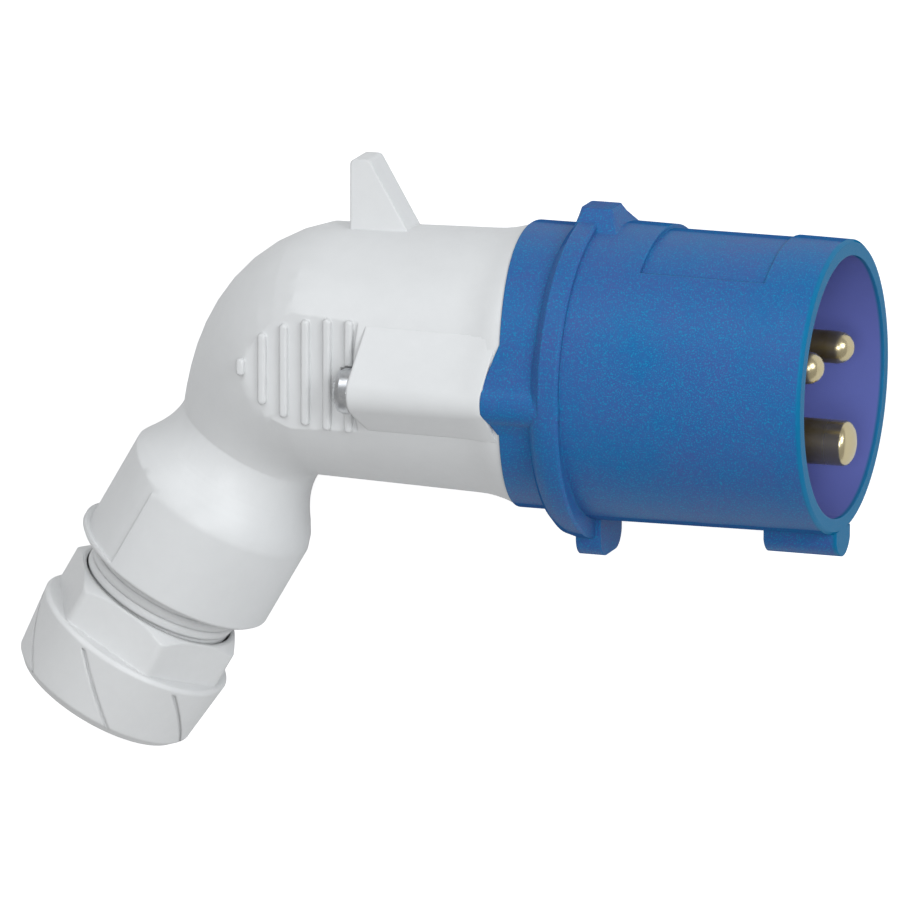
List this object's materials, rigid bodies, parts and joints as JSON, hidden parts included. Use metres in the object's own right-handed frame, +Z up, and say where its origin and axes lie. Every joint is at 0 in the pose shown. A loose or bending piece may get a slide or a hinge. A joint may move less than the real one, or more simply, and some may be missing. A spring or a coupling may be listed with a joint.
{
  "type": "angled industrial plug",
  "caption": "Angled industrial mains plug: blue keyed shroud around domed contact pins, flanged joint, light grey elbow body with sighting fin and grip ribs, and a hexagonal cable gland nut.",
  "frame": {"origin": "centre of the bounding box's base, on the floor that the plug lies on", "axes": "+Z up from the floor to the side that faces up; +X roughly along the pins, out of the shroud's mouth; +Y roughly to the sighting fin"},
  "size_m": [0.1346, 0.0948, 0.0485],
  "materials": {
    "blue_plastic": "spark-eroded satin",
    "grey_plastic": "smooth satin",
    "insulator": "moulded insulating plastic",
    "pin_brass": "turned, tarnished on the shank and worn bright on the nose",
    "insert_brass": "turned",
    "zinc_steel": "bright zinc plating",
    "seal_rubber": "matt",
    "washer_plastic": "slippery sheet plastic"
  },
  "bodies": {
    "housing": {"front_shroud": "blue_plastic", "elbow_housing": "grey_plastic", "contact_carrier": "insulator", "retainer_plate": "insulator", "retainer_screw_near": "zinc_steel", "retainer_screw_far": "zinc_steel", "line_pin": "pin_brass", "neutral_pin": "pin_brass", "earth_pin": "pin_brass", "terminal_screw_line": "zinc_steel", "terminal_screw_neutral": "zinc_steel", "terminal_screw_earth": "zinc_steel", "housing_gasket": "seal_rubber", "body_screw_near": "zinc_steel", "body_screw_far": "zinc_steel", "screw_insert_near": "insert_brass", "screw_insert_far": "insert_brass", "gland_seal": "seal_rubber"},
    "gland_follower": {"gland_pressure_ring": "grey_plastic", "friction_washer": "washer_plastic"},
    "cap_nut": {"gland_nut": "grey_plastic"}
  },
  "joints": [
    {"name": "gland_advance", "type": "slide", "parent": "housing", "child": "gland_follower", "axis": [-0.4999, -0.8559, -0.1324], "range_m": [-0.00452, 0.00152]},
    {"name": "nut_turn", "type": "hinge", "parent": "gland_follower", "child": "cap_nut", "pos_m": [-0.04915, -0.03034, 0.01621], "axis": [-0.4999, -0.8559, -0.1324], "range_deg": [-1080, 360]}
  ],
  "couplings": [
    {"joint": "gland_advance", "follows": "nut_turn", "m_per_rad": 0.00023873}
  ]
}
